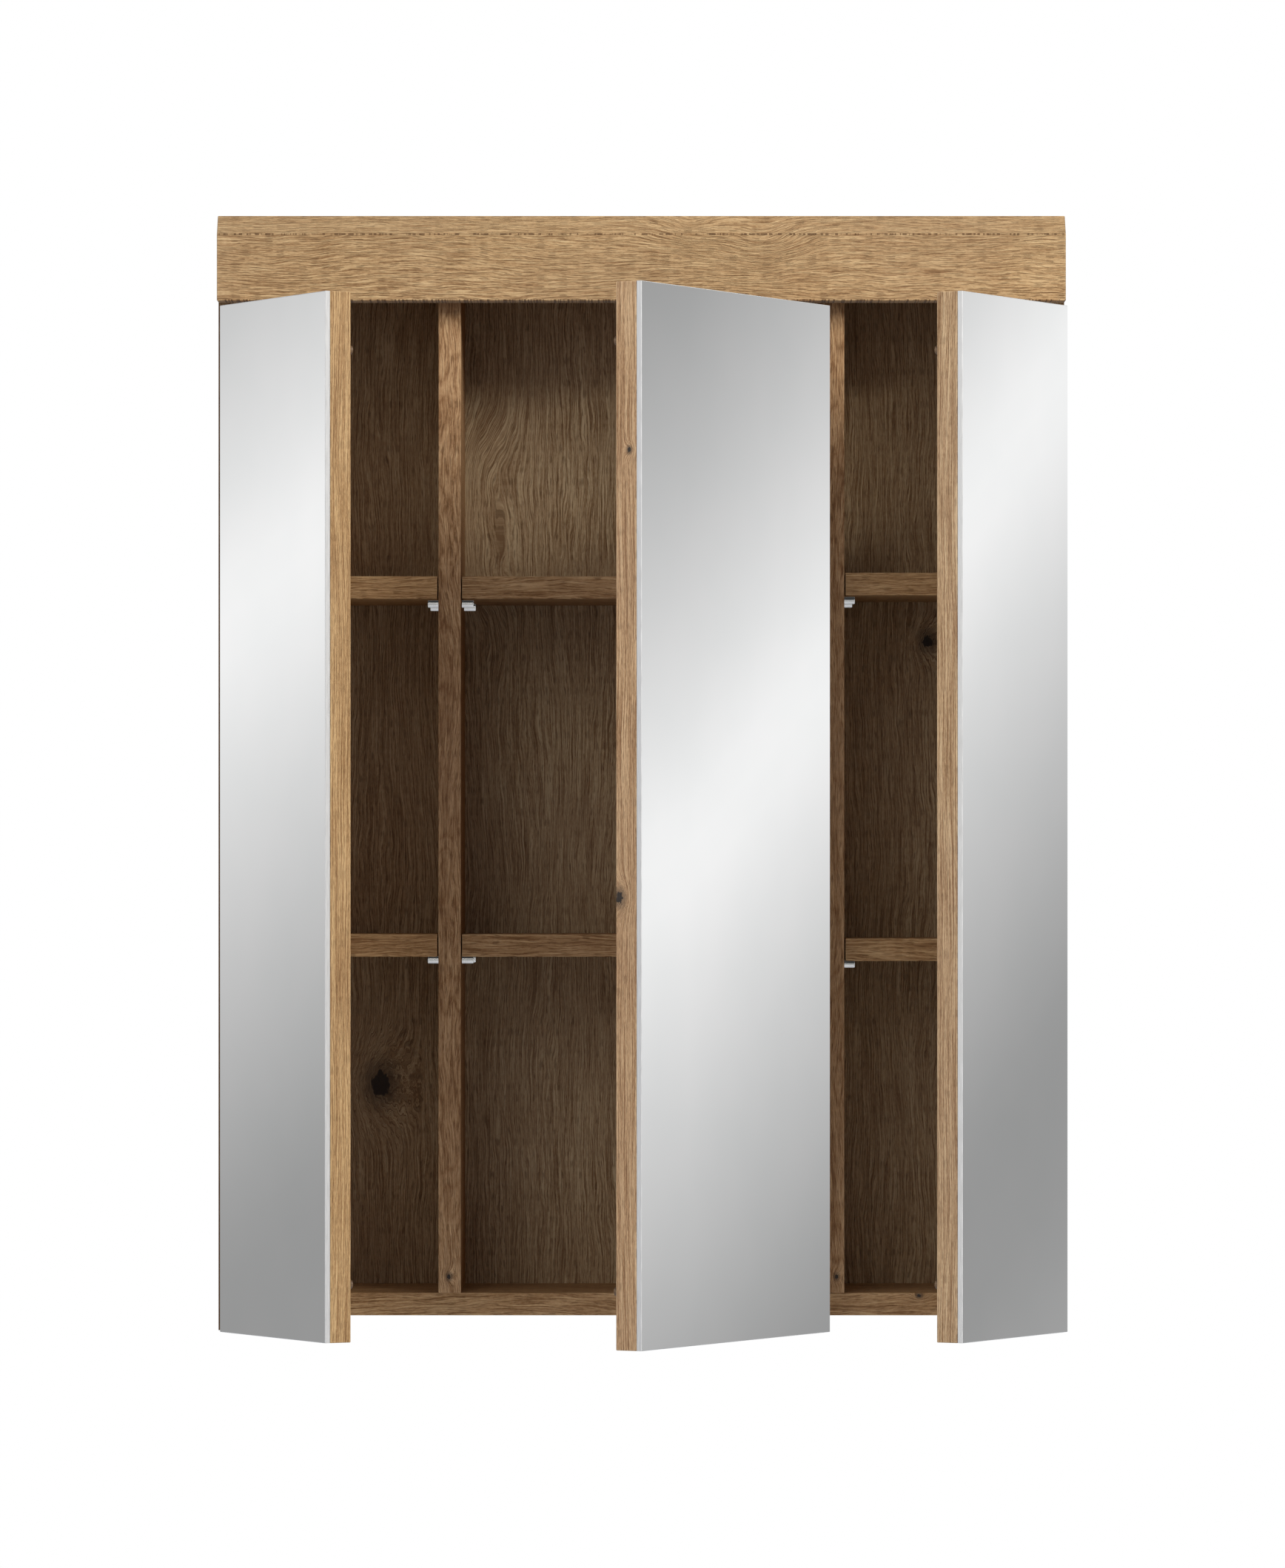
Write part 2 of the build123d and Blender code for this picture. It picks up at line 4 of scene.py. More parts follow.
import bmesh
import bpy
from mathutils import Matrix, Vector


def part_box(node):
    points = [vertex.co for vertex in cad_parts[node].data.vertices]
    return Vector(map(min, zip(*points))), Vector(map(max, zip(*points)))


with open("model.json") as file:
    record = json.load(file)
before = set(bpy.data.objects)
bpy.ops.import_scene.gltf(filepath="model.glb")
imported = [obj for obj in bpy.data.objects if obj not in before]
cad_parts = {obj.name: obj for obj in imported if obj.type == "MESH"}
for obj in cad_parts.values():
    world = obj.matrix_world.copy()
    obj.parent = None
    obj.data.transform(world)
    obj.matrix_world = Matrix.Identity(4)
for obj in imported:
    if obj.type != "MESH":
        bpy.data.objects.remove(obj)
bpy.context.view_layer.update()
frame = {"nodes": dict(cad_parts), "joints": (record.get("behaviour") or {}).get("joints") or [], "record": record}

# Finishes, lights and camera for a wall-hung bathroom cabinet with three mirrored doors.
# Metres, Z up, in the cabinet's own frame. Inside the materials lengths are in millimetres.

MM = 1000.0
ACROSS, FRONT, UP = 0, 1, 2
DOORS = ("left", "middle", "right")

# How much of a surface's normal lies along an axis when the surface counts as facing that way
FACING = 0.7
FLAT_FACING = 0.95


def tint(red, green, blue):
    """A colour written as 0 to 255 on a screen, as the linear colour that shaders use."""
    linear = []
    for level in (red, green, blue):
        share = level / 255
        linear.append(share / 12.92 if share <= 0.04045 else ((share + 0.055) / 1.055) ** 2.4)
    return (*linear, 1.0)


BLACK = (0.0, 0.0, 0.0, 1.0)
WHITE = (1.0, 1.0, 1.0, 1.0)


# Places worked out from the frame
joints = {joint["name"]: joint for joint in frame["joints"]}


def door_turn(door):
    """The angle about Z that brings a door from where it is stored back to where it closes."""
    joint = joints[f"{door}_door_hinge"]
    return math.radians(joint["axis"][UP] * joint["range_deg"][0])


class Board:
    """A node's own box in millimetres, in axes that lie along its sides."""

    def __init__(self, node, turn=0.0):
        self.node = node
        self.turn = turn
        spin = Matrix.Rotation(turn, 3, "Z")
        corners = [spin @ vertex.co * MM for vertex in frame["nodes"][node].data.vertices]
        low = Vector(min(corner[i] for corner in corners) for i in range(3))
        high = Vector(max(corner[i] for corner in corners) for i in range(3))
        self.centre = (low + high) / 2
        self.half = (high - low) / 2

    def place(self, x, y, z):
        """A point of the cabinet, in metres, in the board's own axes from its centre, in millimetres."""
        return Matrix.Rotation(self.turn, 3, "Z") @ (Vector((x, y, z)) * MM) - self.centre


class Shader:
    """A node tree under construction. Each method adds a node and returns what it gives."""

    def __init__(self, tree):
        self.tree = tree
        self.tree.nodes.clear()

    def add(self, kind, inputs=None, **settings):
        node = self.tree.nodes.new(kind)
        for name, value in settings.items():
            setattr(node, name, value)
        for name, value in (inputs or {}).items():
            self.feed(node.inputs[name], value)
        return node

    def feed(self, socket, value):
        if isinstance(value, bpy.types.NodeSocket):
            self.tree.links.new(value, socket)
        else:
            socket.default_value = value

    def maths(self, operation, *values):
        return self.add("ShaderNodeMath", dict(enumerate(values)), operation=operation).outputs[0]

    def vector_maths(self, operation, a, b):
        return self.add("ShaderNodeVectorMath", {0: a, 1: b}, operation=operation).outputs[0]

    def length(self, vector):
        return self.add("ShaderNodeVectorMath", {0: vector}, operation="LENGTH").outputs["Value"]

    def scaled(self, vector, factor):
        inputs = {"Vector": vector, "Scale": factor}
        return self.add("ShaderNodeVectorMath", inputs, operation="SCALE").outputs[0]

    def turned(self, vector, angle):
        inputs = {"Vector": vector, "Angle": angle}
        return self.add("ShaderNodeVectorRotate", inputs, rotation_type="Z_AXIS").outputs[0]

    def split(self, vector):
        return self.add("ShaderNodeSeparateXYZ", {0: vector}).outputs[:3]

    def joined(self, x, y, z=0.0):
        return self.add("ShaderNodeCombineXYZ", {0: x, 1: y, 2: z}).outputs[0]

    def noise(self, at, detail=0.0, roughness=0.5, dimensions="3D"):
        inputs = {"Vector": at, "Scale": 1.0, "Detail": detail, "Roughness": roughness}
        return self.add("ShaderNodeTexNoise", inputs, noise_dimensions=dimensions).outputs[0]

    def step(self, value, low, high, start=0.0, end=1.0):
        """A smooth change from start to end while the value goes from low to high."""
        inputs = {"Value": value, "From Min": low, "From Max": high, "To Min": start, "To Max": end}
        return self.add("ShaderNodeMapRange", inputs, interpolation_type="SMOOTHSTEP").outputs[0]

    def swung(self, value, reach, base):
        """The base, moved by the reach to both sides while the value goes from 0 to 1."""
        return self.maths("MULTIPLY_ADD", self.maths("SUBTRACT", value, 0.5), 2 * reach, base)

    def bell(self, distance, steepness):
        """1 where the distance is 0, and softly down to 0 away from there."""
        square = self.maths("MULTIPLY", distance, distance)
        return self.maths("POWER", math.e, self.maths("MULTIPLY", square, -steepness))

    def blend(self, share, a, b):
        """Number a where the share is 0 and b where it is 1."""
        return self.add("ShaderNodeMix", {0: share, 2: a, 3: b}, data_type="FLOAT").outputs[0]

    def paint(self, share, a, b, mode="MIX"):
        """Colour a where the share is 0 and b where it is 1."""
        node = self.add("ShaderNodeMix", {0: share, 6: a, 7: b}, data_type="RGBA", blend_type=mode)
        return node.outputs[2]

    def ramp(self, value, stops):
        """A colour that runs through (place, colour) stops."""
        node = self.add("ShaderNodeValToRGB", {0: value})
        elements = node.color_ramp.elements
        while len(elements) < len(stops):
            elements.new(1.0)
        for element, (place, colour) in zip(elements, stops):
            element.position = place
            element.color = colour
        return node.outputs[0]

    def mottled(self, value, dark, middle, light):
        """Three tones in the patches of a noise."""
        return self.ramp(value, ((0.3, dark), (0.55, middle), (0.75, light)))

    def bump(self, height, depth):
        """A surface normal raised by a height between 0 and 1, at a depth in millimetres."""
        return self.add("ShaderNodeBump", {"Height": height, "Distance": depth / MM}).outputs[0]

    def place(self):
        """Where the shaded point is in the cabinet, in millimetres."""
        return self.scaled(self.add("ShaderNodeTexCoord").outputs["Object"], MM)


def new_material(name):
    """An empty node material and the shader that fills it."""
    material = bpy.data.materials.new(name)
    material.use_nodes = True
    return material, Shader(material.node_tree)


def surface(s, **inputs):
    """The surface shader and the output, from inputs such as base_color and specular_ior_level."""
    names = {name.lower().replace(" ", "_"): name for name in (
        "Base Color", "Metallic", "Roughness", "IOR", "Normal", "Specular IOR Level", "Anisotropic",
    )}
    principled = s.add("ShaderNodeBsdfPrincipled", {names[key]: value for key, value in inputs.items()})
    s.add("ShaderNodeOutputMaterial", {"Surface": principled.outputs[0]})


def board_point(s, board):
    """Where the shaded point is in the board's own axes, in millimetres from its centre."""
    at = s.place()
    if board.turn:
        at = s.turned(at, board.turn)
    return s.split(s.vector_maths("SUBTRACT", at, tuple(board.centre)))


def board_normal(s, board):
    """Which way the surface faces, in the board's own axes."""
    normal = s.add("ShaderNodeTexCoord").outputs["Normal"]
    if board.turn:
        normal = s.turned(normal, board.turn)
    return s.split(normal)


def arris_distance(s, board, point):
    """How far a point of a board's surface is from the nearest arris, in millimetres."""
    a, b, c = (s.maths("SUBTRACT", half, s.maths("ABSOLUTE", part)) for half, part in zip(board.half, point))
    smaller, larger = s.maths("MINIMUM", a, b), s.maths("MAXIMUM", a, b)
    return s.maths("MAXIMUM", smaller, s.maths("MINIMUM", larger, c))


def stretched_noise(s, along, line, size, seed, detail=0.0, roughness=0.5):
    """Noise in streaks, with their size given along the grain and across it."""
    length, breadth = size
    at = s.joined(
        s.maths("MULTIPLY_ADD", along, 1 / length, seed),
        s.maths("MULTIPLY_ADD", line, 1 / breadth, seed * 1.7),
    )
    return s.noise(at, detail, roughness, "2D")


# Oak decor: honey oak printed and embossed on boards. Sizes are in millimetres along the grain and across
# it. A share is how far a layer of the grain shifts the tone, which runs from dark at 0 to light at 1.
OAK = {
    "dark": tint(136, 103, 70),
    "mid": tint(178, 145, 106),
    "light": tint(206, 176, 134),
    "pore": tint(92, 66, 44),
    "knot": tint(66, 60, 55),
    "cloud": tint(150, 120, 95),
    "hue": WHITE,
    "wave": 6.0,
    "wave_size": (150.0, 42.0),
    "swerve": 1.2,
    "swerve_size": (24.0, 6.0),
    "rings_size": (380.0, 8.0),
    "rings_share": 0.24,
    "streaks_size": (16.0, 1.15),
    "streaks_share": 0.62,
    "fine_size": (34.0, 0.55),
    "fine_share": 0.50,
    "grit_size": (3.2, 0.8),
    "grit_share": 0.30,
    "pores_size": (8.0, 0.6),
    "pores_share": 0.45,
    "figure_size": (60.0, 16.0),
    "figure_share": 0.0,
    # Painted highlight: how much lighter the tone is right at each arris
    "painted_arris_highlight": 0.12,
    "cloud_share": 0.16,
    # Painted shade: how dark a line just inside each arris is
    "painted_edge_shade": 0.0,
    "emboss": 0.3,
    "roughness": 0.58,
    "roughness_reach": 0.08,
    "specular": 0.0,
    "knots": (),
    "swirls": (),
    "dotted_levels": (),
    "rear": None,
}
# Each layer's offset from the board's seed, its octaves of detail and their roughness
LAYERS = {
    "wave": (0.0, 0.0, 0.5),
    "swerve": (3.1, 0.0, 0.5),
    "knot": (7.7, 2.0, 0.5),
    "rings": (1.3, 2.0, 0.5),
    "streaks": (5.9, 1.0, 0.5),
    "fine": (9.2, 1.0, 0.5),
    "grit": (6.6, 2.0, 0.7),
    "pores": (2.4, 0.0, 0.5),
    "figure": (4.4, 1.0, 0.5),
}
# The steepness and the reach, in radii, of the bend in the grain round a swirl and round a knot
SWIRL_BEND = (0.5, 1.15)
KNOT_BEND = (0.14, 3.2)


def knot_distance(s, board, point, grain, place, radius):
    """Distance from a place on the board, stretched along the grain, where 1 is the radius."""
    stretch = [1.0 / radius] * 3
    stretch[grain] = 1.0 / (1.35 * radius)
    offset = s.vector_maths("SUBTRACT", s.joined(*point), tuple(board.place(*place)))
    return s.length(s.vector_maths("MULTIPLY", offset, tuple(stretch)))


def figure_arcs(s, figure, grit):
    """Broken arcs along the level lines of a slow noise, as 0 to 1."""
    lines_per_unit, arc_breadth = 5.0, 0.3
    arcs = s.maths("PINGPONG", s.maths("MULTIPLY", figure, lines_per_unit), 0.5)
    arcs = s.step(arcs, 0.0, arc_breadth, 1.0, 0.0)
    return s.maths("MULTIPLY", arcs, s.step(grit, 0.35, 0.6))


def dotted_row(s, point, level, seed):
    """A broken row of dots across the board at a level, as 0 to 1."""
    dots_per_mm, strength = 0.55, 0.85
    row = s.maths("ABSOLUTE", s.maths("SUBTRACT", point[UP], level))
    dots = s.noise(s.joined(s.maths("MULTIPLY", point[ACROSS], dots_per_mm), seed + level), 2.0, 0.5, "2D")
    return s.maths("MULTIPLY", s.step(dots, 0.46, 0.6), s.step(row, 0.3, 1.0, strength, 0.0))


def oak(name, board, grain, end, seed, **changes):
    """Oak decor for one board. Grain runs along one of its axes, and along another on its end faces."""
    look = {**OAK, **changes}
    material, s = new_material(name)
    point = board_point(s, board)
    normal = board_normal(s, board)
    on_end = s.maths("GREATER_THAN", s.maths("ABSOLUTE", normal[grain]), FACING)
    along = s.blend(on_end, point[grain], point[end])
    total = s.maths("ADD", s.maths("ADD", point[0], point[1]), point[2])
    across = s.maths("SUBTRACT", total, along)

    def layer(kind, line, size=None):
        offset, detail, roughness = LAYERS[kind]
        return stretched_noise(s, along, line, size or look[f"{kind}_size"], seed + offset, detail, roughness)

    # The grain wavers, and bends round each swirl and each knot
    line = s.swung(layer("wave", across), look["wave"], across)
    line = s.swung(layer("swerve", across), look["swerve"], line)
    for place, radius in look["swirls"]:
        steepness, reach = SWIRL_BEND
        distance = knot_distance(s, board, point, grain, place, radius)
        line = s.maths("MULTIPLY_ADD", s.bell(distance, steepness), reach * radius, line)
    knot_share = 0.0
    for place, radius in look["knots"]:
        steepness, reach = KNOT_BEND
        ragged = layer("knot", across, (radius * 0.9, radius * 0.5))
        distance = s.swung(ragged, 0.45, knot_distance(s, board, point, grain, place, radius))
        line = s.maths("MULTIPLY_ADD", s.bell(distance, steepness), reach * radius, line)
        core = s.step(distance, 0.75, 1.15, 1.0, 0.0)
        halo = s.step(distance, 1.0, 2.6, 0.55, 0.0)
        knot_share = s.maths("MAXIMUM", knot_share, s.maths("MAXIMUM", core, halo))

    # Tone
    layers = {kind: layer(kind, line) for kind in ("rings", "streaks", "fine", "grit")}
    tone = 0.5
    for kind, value in layers.items():
        tone = s.swung(value, look[f"{kind}_share"], tone)
    if look["figure_share"]:
        arcs = figure_arcs(s, layer("figure", across), layers["grit"])
        tone = s.maths("MULTIPLY_ADD", arcs, -look["figure_share"], tone)
    # Painted highlight: the tone is lighter within about a millimetre of every arris, where a rounded edge would
    # catch the light
    arris = arris_distance(s, board, point)
    tone = s.maths("MULTIPLY_ADD", s.step(arris, 0.2, 1.3, 1.0, 0.0), look["painted_arris_highlight"], tone)

    # Colour
    colour = s.ramp(tone, ((0.1, look["dark"]), (0.5, look["mid"]), (0.9, look["light"])))
    patch = s.noise(s.scaled(s.joined(*point), 1 / 130.0), 1.0)
    colour = s.paint(s.step(patch, 0.35, 0.7, 0.0, look["cloud_share"]), colour, look["cloud"])
    pore = s.step(layer("pores", line), 0.58, 0.72)
    colour = s.paint(s.maths("MULTIPLY", pore, look["pores_share"]), colour, look["pore"])
    # A tint for the whole board; on the shelves, doors and back it also carries painted light and shade
    colour = s.paint(1.0, colour, look["hue"], "MULTIPLY")
    # Painted shade: a dark line just inside every arris, standing in for the shade on the side panels' edges
    if look["painted_edge_shade"]:
        colour = s.paint(s.step(arris, 0.9, 1.7, look["painted_edge_shade"], 0.0), colour, look["pore"])
    for level in look["dotted_levels"]:
        colour = s.paint(dotted_row(s, point, level, seed), colour, look["pore"])
    if look["knots"]:
        colour = s.paint(knot_share, colour, look["knot"])
    if look["rear"]:
        behind = s.maths("GREATER_THAN", normal[FRONT], FACING)
        colour = s.paint(behind, colour, look["rear"](s, point))

    # Relief and sheen
    height = s.maths("MULTIPLY_ADD", layers["fine"], 0.5, layers["streaks"])
    height = s.maths("MULTIPLY_ADD", layers["grit"], 0.4, height)
    height = s.maths("MULTIPLY_ADD", pore, -0.5, height)
    matt, glossy = look["roughness"] + look["roughness_reach"], look["roughness"] - look["roughness_reach"]
    surface(
        s, base_color=colour, roughness=s.blend(layers["streaks"], matt, glossy),
        normal=s.bump(height, look["emboss"]), specular_ior_level=look["specular"],
    )
    return material


def raw_board_colour(s, point):
    """The flaked look of a board's raw edge."""
    flakes = s.add("ShaderNodeTexVoronoi", {"Vector": s.joined(*point), "Scale": 0.6}, feature="F1")
    pale = s.noise(s.scaled(s.joined(*point), 1 / 1.3), 2.0, 0.6)
    colour = s.mottled(pale, tint(150, 118, 82), tint(190, 158, 118), tint(214, 190, 150))
    level = s.split(flakes.outputs["Color"])[0]
    return s.paint(s.step(level, 0.7, 0.8, 0.0, 0.5), colour, tint(112, 84, 56))


def fibreboard_colour(s, point):
    """The plain brown rear of the thin back."""
    grain = s.noise(s.scaled(s.joined(*point), 1 / 0.9), 2.0, 0.6)
    cloud = s.noise(s.scaled(s.joined(*point), 1 / 60.0), 1.0)
    colour = s.mottled(grain, tint(112, 82, 56), tint(138, 104, 74), tint(160, 126, 94))
    return s.paint(s.step(cloud, 0.35, 0.65, 0.0, 0.25), colour, tint(124, 92, 66))


def silvered_glass(name, board):
    """A mirror: its front silvered, its ground edges pale and its rear painted."""
    material, s = new_material(name)
    point = board_point(s, board)
    facing = board_normal(s, board)[FRONT]
    on_front = s.maths("LESS_THAN", facing, -FLAT_FACING)
    on_rear = s.maths("GREATER_THAN", facing, FACING)
    haze = s.noise(s.scaled(s.joined(*point), 1 / 90.0), 2.0)
    grinding = stretched_noise(s, point[UP], s.maths("ADD", point[0], point[1]), (14.0, 0.35), 2.0, 1.0)
    edge = s.ramp(grinding, ((0.25, tint(198, 197, 193)), (0.75, tint(218, 217, 213))))
    paint = s.ramp(haze, ((0.35, tint(120, 126, 128)), (0.65, tint(134, 140, 141))))
    silver = s.ramp(haze, ((0.3, tint(246, 247, 247)), (0.7, tint(250, 250, 250))))
    colour = s.paint(on_rear, edge, paint)
    colour = s.paint(on_front, colour, silver)
    roughness = s.blend(on_front, s.blend(grinding, 0.32, 0.5), 0.0)
    surface(s, base_color=colour, metallic=on_front, roughness=roughness, specular_ior_level=0.5)
    return material


def metal(name, colour, shade, roughness, grain, bump_depth, anisotropy=0.0):
    """Plated or cast metal, with a fine grain of a size in millimetres and slight clouding."""
    material, s = new_material(name)
    at = s.place()
    fine = s.noise(s.scaled(at, 1 / grain), 2.0, 0.6)
    cloud = s.noise(s.scaled(at, 1 / (14 * grain)), 2.0)
    base = s.ramp(s.blend(0.5, fine, cloud), ((0.35, shade), (0.6, colour)))
    spread = s.step(cloud, 0.3, 0.7, roughness - 0.05, roughness + 0.08)
    surface(
        s, base_color=base, metallic=1.0, roughness=spread, anisotropic=anisotropy,
        normal=s.bump(fine, bump_depth),
    )
    return material


def beech(name):
    """Raw beech pegs, with short dark flecks."""
    material, s = new_material(name)
    flecks = s.noise(s.scaled(s.place(), 0.9), 3.0, 0.6)
    colour = s.mottled(flecks, tint(176, 138, 98), tint(208, 174, 132), tint(222, 194, 156))
    surface(s, base_color=colour, roughness=0.7, normal=s.bump(flecks, 0.1), specular_ior_level=0.3)
    return material


def soft_plastic(name, colour, shade, roughness):
    """Soft plastic with faint dimples."""
    material, s = new_material(name)
    dimples = s.noise(s.scaled(s.place(), 1 / 1.1), 2.0)
    base = s.ramp(dimples, ((0.35, shade), (0.65, colour)))
    spread = s.blend(dimples, roughness - 0.06, roughness + 0.06)
    surface(s, base_color=base, roughness=spread, ior=1.48, normal=s.bump(dimples, 0.05))
    return material


def finish(node, material):
    """Gives a node its material."""
    slots = frame["nodes"][node].data.materials
    slots.clear()
    slots.append(material)


# Boards. Knots and swirls are given as their place in the cabinet, in metres, with a radius in millimetres.
OUTSIDE_SPECULAR = 0.06
BEVEL_HEIGHT = 14.0
CROWN_LOOK = {
    "emboss": 0.42, "wave": 5.0, "specular": OUTSIDE_SPECULAR, "rings_share": 0.15,
    "hue": (1.04, 1.04, 1.0, 1.0), "streaks_size": (24.0, 1.05), "streaks_share": 0.46, "pores_share": 0.4,
    "swirls": (((0.036, -0.166, 0.040), 13.0), ((0.085, -0.170, 0.030), 16.0)),
}
# The side panels carry a painted shade line along their arrises
SIDE_LOOK = {"rear": raw_board_colour, "specular": OUTSIDE_SPECULAR, "painted_edge_shade": 0.85}
DIVIDER_LOOK = {
    "figure_share": 0.38, "streaks_share": 0.36, "emboss": 0.15, "rear": raw_board_colour,
    "hue": (0.98, 0.93, 0.93, 1.0), "wave": 9.0, "rings_share": 0.34,
}
DIVIDER_KNOTS = {
    "left": (((-0.1365, -0.148, -0.707), 1.5),),
    "right": (((0.1385, -0.148, -0.707), 1.3),),
}
CROSS_LOOK = {
    "streaks_size": (34.0, 1.6), "streaks_share": 0.5, "emboss": 0.15, "rear": raw_board_colour,
    "hue": (0.95, 0.9, 0.84, 1.0), "rings_share": 0.34,
}
CROSS_KNOTS = {"bottom": (((0.197, -0.148, -0.7205), 1.2),), "top": ()}
SHELF_LOOK = {
    "streaks_size": (34.0, 1.6), "streaks_share": 0.5, "emboss": 0.15, "figure_share": 0.15,
    "rings_share": 0.3,
}
# Painted light and shade: the shelves of every bay are the same oak, lightened or darkened bay by bay
SHELF_PAINTED_LIGHT_AND_SHADE = {
    "left": (1.06, 1.0, 0.9, 1.0),
    "middle": (0.86, 0.81, 0.77, 1.0),
    "right": (0.92, 0.88, 0.82, 1.0),
}
DOOR_LOOK = {
    "streaks_size": (75.0, 1.0), "fine_size": (130.0, 0.55), "wave": 3.0, "swerve": 0.45, "emboss": 0.3,
    "rings_share": 0.16, "pores_share": 0.3, "specular": OUTSIDE_SPECULAR,
}
# Painted light and shade: the doors are the same oak, each lightened or tinted to the light on its edge
DOOR_PAINTED_LIGHT_AND_SHADE = {
    "left": (1.08, 1.04, 0.94, 1.0),
    "middle": (1.13, 1.1, 1.14, 1.0),
    "right": (1.03, 1.05, 1.13, 1.0),
}
DOOR_KNOTS = {
    "left": (),
    "middle": (((-0.0082, -0.3989, -0.1339), 1.4), ((-0.0150, -0.3950, -0.4376), 3.0)),
    "right": (),
}
BACK_LOOK = {
    "streaks_size": (46.0, 1.0), "fine_size": (80.0, 0.5), "fine_share": 0.55, "emboss": 0.08,
    # The back's cool grey tint is partly its own greyer print and partly painted shade, the cool tone of the shade
    # it sits in
    "rings_share": 0.16, "hue": (0.98, 1.08, 1.2, 1.0), "rear": fibreboard_colour,
    "knots": (((-0.1895, -0.012, -0.5732), 7.4), ((0.2079, -0.012, -0.2521), 3.8)),
    "swirls": (
        ((-0.113, -0.012, -0.125), 16.0), ((-0.116, -0.012, -0.165), 15.0), ((-0.112, -0.012, -0.205), 14.0),
    ),
}


def dress_boards():
    seeds = iter(range(11, 400, 17))
    crown = Board("crown_board")
    dotted = (crown.half[UP] - BEVEL_HEIGHT, 0.3 - crown.half[UP])
    finish(crown.node, oak("oak_crown", crown, ACROSS, UP, next(seeds), dotted_levels=dotted, **CROWN_LOOK))
    for side in ("left", "right"):
        board = Board(f"{side}_side_panel")
        finish(board.node, oak(f"oak_side_{side}", board, UP, FRONT, next(seeds), **SIDE_LOOK))
        board = Board(f"{side}_divider")
        look = {**DIVIDER_LOOK, "knots": DIVIDER_KNOTS[side]}
        finish(board.node, oak(f"oak_divider_{side}", board, UP, FRONT, next(seeds), **look))
    for level in ("bottom", "top"):
        board = Board(f"{level}_panel")
        look = {**CROSS_LOOK, "knots": CROSS_KNOTS[level]}
        finish(board.node, oak(f"oak_cross_{level}", board, ACROSS, FRONT, next(seeds), **look))
    for door in DOORS:
        for row in ("lower", "upper"):
            board = Board(f"{door}_{row}_shelf")
            look = {**SHELF_LOOK, "hue": SHELF_PAINTED_LIGHT_AND_SHADE[door]}
            finish(board.node, oak(f"oak_shelf_{door}_{row}", board, ACROSS, FRONT, next(seeds), **look))
        board = Board(f"{door}_door_board", door_turn(door))
        look = {**DOOR_LOOK, "hue": DOOR_PAINTED_LIGHT_AND_SHADE[door], "knots": DOOR_KNOTS[door]}
        finish(board.node, oak(f"oak_door_{door}", board, UP, ACROSS, next(seeds), **look))
        mirror = Board(f"{door}_mirror", door_turn(door))
        finish(mirror.node, silvered_glass(f"mirror_{door}", mirror))
    back = Board("back_panel")
    finish(back.node, oak("oak_back", back, UP, ACROSS, next(seeds), **BACK_LOOK))


# Fittings
def dress_fittings():
    by_slot = {
        "nickel": metal("bright_nickel", tint(226, 226, 224), tint(204, 204, 202), 0.12, 0.6, 0.01),
        "nickel_steel": metal(
            "nickel_plated_steel", tint(214, 213, 209), tint(196, 195, 191), 0.26, 0.8, 0.02, anisotropy=0.2,
        ),
        "die_cast_zinc": metal("die_cast_zinc", tint(190, 191, 192), tint(168, 169, 171), 0.36, 1.1, 0.05),
        "zinc_plated_steel": metal(
            "zinc_plated_steel", tint(204, 206, 208), tint(180, 183, 188), 0.3, 0.5, 0.02,
        ),
        "beech": beech("beech_pegs"),
        "glue": soft_plastic("mirror_glue", tint(226, 226, 220), tint(206, 206, 200), 0.5),
        # The bumpers' brown is partly their own and partly painted shade: it is darkened to the shaded wood round
        # them
        "bumper": soft_plastic("brown_bumper_with_painted_shade", tint(112, 88, 62), tint(98, 76, 54), 0.5),
    }
    for part in frame["record"]["subparts"]:
        if part["material_slot"] in by_slot:
            finish(part["node"], by_slot[part["material_slot"]])


# Studio
# The bright crest that the mirrors show, as its rise in radians at each bearing in degrees. The light falls
# off to both sides of it: in a straight line across a narrow band, with both ends of the fall rounded over a
# share of the band, and then over the whole sky, in radians from the crest. Each grey is from 0 to 255.
CRESTS = (
    (-180.0, 0.01), (-176.0, -0.03), (-80.0, 0.2), (-57.09, 0.0467), (-56.37, 0.0336), (-45.0, -0.15),
    (45.0, 0.25), (56.34, 0.0647), (57.05, 0.0526), (58.07, 0.0209), (59.38, -0.0006), (80.0, -0.2),
    (176.0, 0.05), (180.0, 0.01),
)
BAND = 0.0887
BAND_STEPS = 16
CREST_GREY, FOOT_GREY = 242, 150
CREST_ROUND, FOOT_ROUND = 0.1, 0.18
FAR_GREYS = ((0.0, 150), (0.1, 150), (0.26, 206), (0.46, 166), (0.72, 214), (1.0, 184))

# The sky that metal shows is dim high up and far down: between which rises in radians it changes, and to what
HIGH_DIMMING = (0.15, 0.5)
LOW_DIMMING = (-1.25, -0.85)
DIM = 0.1
SILVER = 0.944
AMBIENT = (0.365, 0.39, 0.465, 1.0)

FLOOR_LEVEL = -1.65
FLOOR_RADIUS = 2.6
FLOOR_FADE = (0.9, 2.5)

# Each lamp's bearing from straight in front and its rise in degrees, its size in metres and its watts
LAMPS = {
    "right_lamp": (36.2, 29.0, (1.08, 1.22), 68.0),
    "left_lamp": (-38.6, 26.7, (3.5, 1.98), 29.0),
}
LAMP_AIM = (0.0, -0.17, -0.2)
LAMP_DISTANCE = 3.0
LAMP_COLOUR = (1.0, 0.975, 0.93)


def band_grey(share):
    """The grey at a share of the way from the crest to the band's foot."""
    slope = (CREST_GREY - FOOT_GREY) / (1 - (CREST_ROUND + FOOT_ROUND) / 2)
    if share < CREST_ROUND:
        return CREST_GREY - slope * share ** 2 / (2 * CREST_ROUND)
    if share > 1 - FOOT_ROUND:
        return FOOT_GREY + slope * (1 - share) ** 2 / (2 * FOOT_ROUND)
    return CREST_GREY - slope * (share - CREST_ROUND / 2)


def reflected(grey):
    """The light that a mirror shows as a grey of 0 to 255."""
    return tuple(part / SILVER for part in tint(grey, grey, grey)[:3]) + (1.0,)


